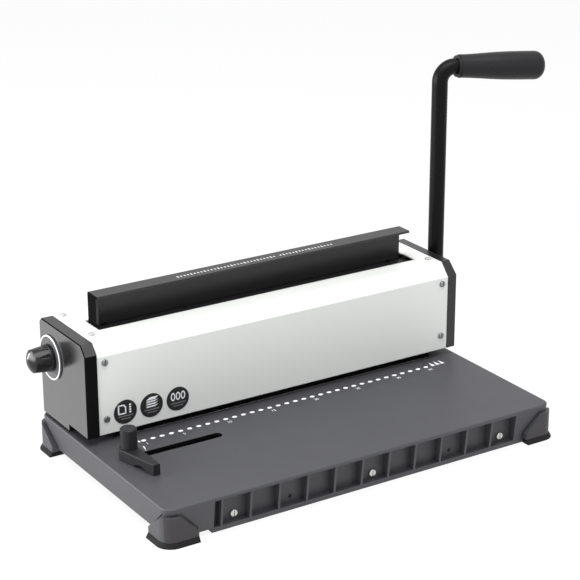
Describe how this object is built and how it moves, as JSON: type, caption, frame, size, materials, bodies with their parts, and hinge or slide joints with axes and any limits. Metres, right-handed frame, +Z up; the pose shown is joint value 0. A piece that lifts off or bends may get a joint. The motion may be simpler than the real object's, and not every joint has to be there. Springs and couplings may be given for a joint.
{
  "type": "wire comb binding machine",
  "caption": "Desk machine that punches a row of square holes with a lever and closes wire loops in its top.",
  "frame": {"origin": "On the table, under the middle of the machine's whole outline, knob and lever grip included", "axes": "+X to the right along the paper slot, +Y from the operator to the back, +Z up"},
  "size_m": [0.4914, 0.2232, 0.2897],
  "materials": {
    "tray_plastic": "fine moulded grain",
    "foot_rubber": "matt",
    "zinc_sheet": "zinc plated sheet",
    "fixing_steel": "nickel plated",
    "tool_steel": "ground",
    "bright_steel": "drawn bright bar",
    "spring_steel": "drawn wire",
    "bush_brass": "turned",
    "beam_aluminium": "milled",
    "housing_paint": "smooth off-white powder coat",
    "closer_paint": "smooth dark powder coat",
    "cover_plastic": "fine moulded grain",
    "lever_paint": "smooth black powder coat",
    "grip_plastic": "satin",
    "knob_plastic": "satin",
    "dial_white": "smooth",
    "guide_plastic": "fine moulded grain",
    "drawer_plastic": "fine moulded grain"
  },
  "bodies": {
    "base": {"base_shell": "tray_plastic", "foot_pads": "foot_rubber", "bottom_plate": "zinc_sheet", "bottom_plate_screws": "fixing_steel", "front_screws": "fixing_steel", "chassis_plate": "zinc_sheet", "chassis_screws": "fixing_steel", "left_frame_plate": "zinc_sheet", "right_frame_plate": "zinc_sheet", "tie_bars": "bright_steel", "tie_bar_screws": "fixing_steel", "die_plate": "tool_steel", "paper_stop": "tool_steel", "pin_guide": "tool_steel", "die_bolts": "fixing_steel", "closer_anvil": "closer_paint", "anvil_screws": "fixing_steel", "guide_rods": "bright_steel", "shaft_bushes": "bush_brass", "top_cover": "housing_paint", "rear_cover": "housing_paint", "left_side_cover": "cover_plastic", "right_side_cover": "cover_plastic", "front_cover_screws": "fixing_steel", "top_cover_screws": "fixing_steel", "rear_cover_screws": "fixing_steel", "side_cover_screws": "fixing_steel", "dial_plate": "dial_white", "punch_springs": "spring_steel", "closer_springs": "spring_steel"},
    "punch": {"punch_beam": "beam_aluminium", "punch_arm_left": "beam_aluminium", "punch_arm_right": "beam_aluminium", "pin_plate": "tool_steel", "punch_pins": "tool_steel", "punch_screws": "fixing_steel"},
    "closer": {"closer_bar": "closer_paint", "closer_slide_left": "tool_steel", "closer_slide_right": "tool_steel", "closer_screws": "fixing_steel"},
    "lever": {"drive_shaft": "bright_steel", "lever_hub": "lever_paint", "lever_arm": "lever_paint", "lever_grip": "grip_plastic", "hub_set_screw": "fixing_steel", "left_pinion": "tool_steel", "right_pinion": "tool_steel", "left_cam": "tool_steel", "right_cam": "tool_steel", "stop_finger": "tool_steel", "shaft_collar": "bright_steel"},
    "knob": {"adjust_knob": "knob_plastic", "knob_shaft": "bright_steel", "stop_cam": "tool_steel"},
    "guide": {"side_guide": "guide_plastic", "guide_nut": "bright_steel"},
    "guide_clamp": {"guide_knob": "knob_plastic", "guide_stud": "bright_steel"},
    "drawer": {"chip_tray": "drawer_plastic"}
  },
  "joints": [
    {"name": "lever_turn", "type": "hinge", "parent": "base", "child": "lever", "pos_m": [0.14917, 0.0696, 0.0635], "axis": [1, 0, 0], "range_deg": [0, 75]},
    {"name": "punch_slide", "type": "slide", "parent": "base", "child": "punch", "axis": [0, 0, -1], "range_m": [0, 0.00801], "stiffness_N_per_m": 3000, "springref_m": -0.006, "deforming": ["punch_springs"]},
    {"name": "closer_slide", "type": "slide", "parent": "base", "child": "closer", "axis": [0, 0, -1], "range_m": [0, 0.01965], "stiffness_N_per_m": 1650, "springref_m": -0.01, "deforming": ["closer_springs"]},
    {"name": "knob_turn", "type": "hinge", "parent": "base", "child": "knob", "pos_m": [-0.22463, 0.084, 0.0873], "axis": [-1, 0, 0], "range_deg": [0, 270]},
    {"name": "guide_slide", "type": "slide", "parent": "base", "child": "guide", "axis": [1, 0, 0], "range_m": [0, 0.0756]},
    {"name": "guide_clamp_turn", "type": "hinge", "parent": "guide", "child": "guide_clamp", "pos_m": [-0.20603, -0.0109, 0.04], "axis": [0, 0, 1], "range_deg": [0, 180]},
    {"name": "drawer_slide", "type": "slide", "parent": "base", "child": "drawer", "axis": [1, 0, 0], "range_m": [0, 0.3]}
  ],
  "couplings": [
    {"joint": "punch_slide", "follows": "lever_turn", "m_per_rad": 0.0061115},
    {"joint": "closer_slide", "follows": "lever_turn", "m_per_rad": 0.015}
  ]
}
